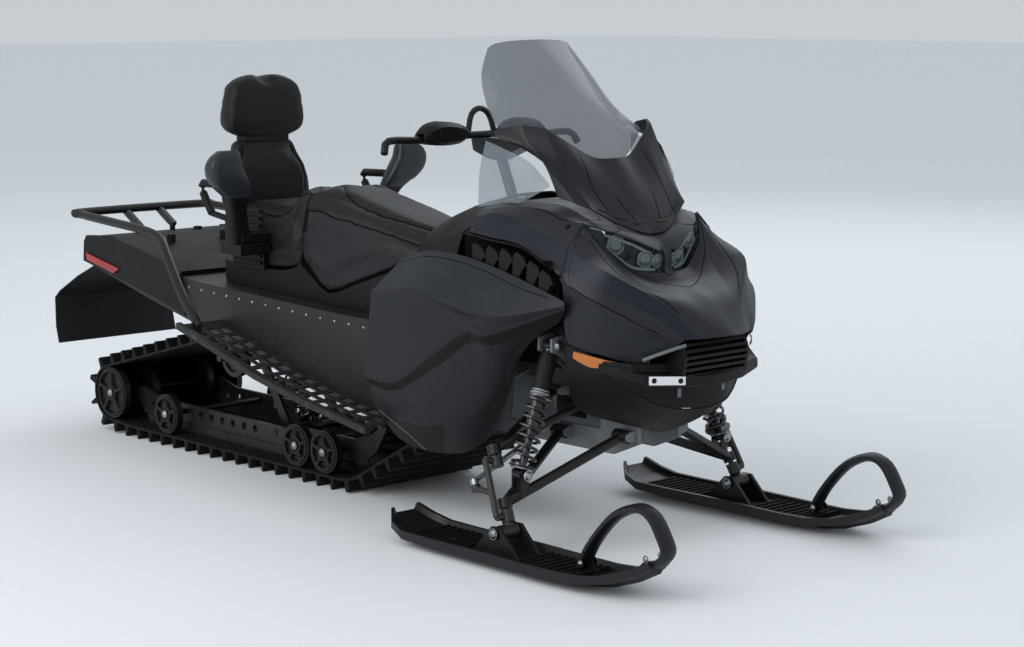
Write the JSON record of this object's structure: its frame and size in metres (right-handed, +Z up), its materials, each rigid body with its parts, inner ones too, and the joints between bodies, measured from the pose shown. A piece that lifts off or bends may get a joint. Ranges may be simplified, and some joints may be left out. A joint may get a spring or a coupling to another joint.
{
  "type": "snowmobile",
  "caption": "Wide-track two-seat utility snowmobile on a lugged belt track, with twin steered skis, a tall windshield, a cargo rack, a backrest and a headrest.",
  "frame": {"origin": "on the ground under the middle of the overall length and width", "axes": "+X forward, +Y to the rider's left, +Z up"},
  "size_m": [3.2421, 1.12, 1.3877],
  "materials": {
    "tunnel_paint": "satin",
    "board_paint": "textured",
    "black_plastic": "textured",
    "red_lens": "gloss",
    "black_rubber": "moulded",
    "rack_paint": "satin",
    "rail_paint": "satin",
    "arm_paint": "gloss",
    "cast_alloy": "cast",
    "engine_alloy": "cast",
    "graphite_panel": "gloss",
    "hood_paint": "gloss",
    "clear_lens": "polished",
    "amber_lens": "gloss",
    "smoke_screen": "polished",
    "seat_vinyl": "grained",
    "seat_side_vinyl": "grained",
    "shock_steel": "brushed",
    "forged_alloy": "satin",
    "ski_plastic": "moulded",
    "bar_paint": "satin"
  },
  "bodies": {
    "chassis": {"tunnel": "tunnel_paint", "running_boards": "board_paint", "tail_cover": "black_plastic", "rear_lamps": "red_lens", "snow_flap": "black_rubber", "cargo_rack": "rack_paint", "track": "black_rubber", "slide_rails": "rail_paint", "skid_arms": "arm_paint", "skid_shocks": "arm_paint", "idler_wheels": "black_plastic", "drive_axle": "arm_paint", "bulkhead": "cast_alloy", "frame_tubes": "arm_paint", "engine_block": "engine_alloy", "belly_pan": "black_plastic", "side_panel_right": "graphite_panel", "side_panel_left": "graphite_panel", "side_louvres": "black_plastic", "hood": "hood_paint", "nose": "hood_paint", "grille": "black_plastic", "front_bumper": "black_plastic", "headlights": "clear_lens", "front_markers": "amber_lens", "fairing": "graphite_panel", "windshield": "smoke_screen", "wind_wings": "smoke_screen", "console": "black_plastic", "rider_seat": "seat_side_vinyl", "passenger_seat": "seat_vinyl", "seat_base": "black_plastic", "backrest": "seat_vinyl", "headrest": "seat_vinyl", "hand_holds": "black_plastic", "suspension_arms": "arm_paint", "front_shocks": "shock_steel"},
    "spindle_right": {"spindle_right": "forged_alloy"},
    "spindle_left": {"spindle_left": "forged_alloy"},
    "ski_right": {"ski_right": "ski_plastic"},
    "ski_left": {"ski_left": "ski_plastic"},
    "tie_rod_right": {"tie_rod_right": "shock_steel"},
    "tie_rod_left": {"tie_rod_left": "shock_steel"},
    "bars": {"handlebar": "bar_paint", "riser": "bar_paint", "bar_controls": "black_plastic"}
  },
  "joints": [
    {"name": "steer_right", "type": "hinge", "parent": "chassis", "child": "spindle_right", "pos_m": [0.99, -0.45, 0.158], "axis": [-0.4326, 0.1331, 0.8917], "range_deg": [-28, 28]},
    {"name": "steer_left", "type": "hinge", "parent": "chassis", "child": "spindle_left", "pos_m": [0.99, 0.45, 0.158], "axis": [-0.4326, -0.1331, 0.8917], "range_deg": [-28, 28]},
    {"name": "bar_turn", "type": "hinge", "parent": "chassis", "child": "bars", "pos_m": [0.48, 0, 1.05], "axis": [-0.4067, 0, 0.9135], "range_deg": [-31, 31]},
    {"name": "tie_turn_right", "type": "hinge", "parent": "spindle_right", "child": "tie_rod_right", "pos_m": [0.866, -0.443, 0.178], "axis": [-0.4326, 0.1331, 0.8917], "range_deg": [-28, 28]},
    {"name": "tie_turn_left", "type": "hinge", "parent": "spindle_left", "child": "tie_rod_left", "pos_m": [0.866, 0.443, 0.178], "axis": [-0.4326, -0.1331, 0.8917], "range_deg": [-28, 28]},
    {"name": "ski_pitch_right", "type": "hinge", "parent": "spindle_right", "child": "ski_right", "pos_m": [1.015, -0.465, 0.088], "axis": [0, 1, 0], "range_deg": [-15, 12]},
    {"name": "ski_pitch_left", "type": "hinge", "parent": "spindle_left", "child": "ski_left", "pos_m": [1.015, 0.465, 0.088], "axis": [0, 1, 0], "range_deg": [-15, 12]}
  ],
  "couplings": [
    {"joint": "steer_left", "follows": "steer_right", "ratio": 1},
    {"joint": "bar_turn", "follows": "steer_right", "ratio": 1.1},
    {"joint": "tie_turn_right", "follows": "steer_right", "ratio": -1},
    {"joint": "tie_turn_left", "follows": "steer_right", "ratio": -1}
  ]
}
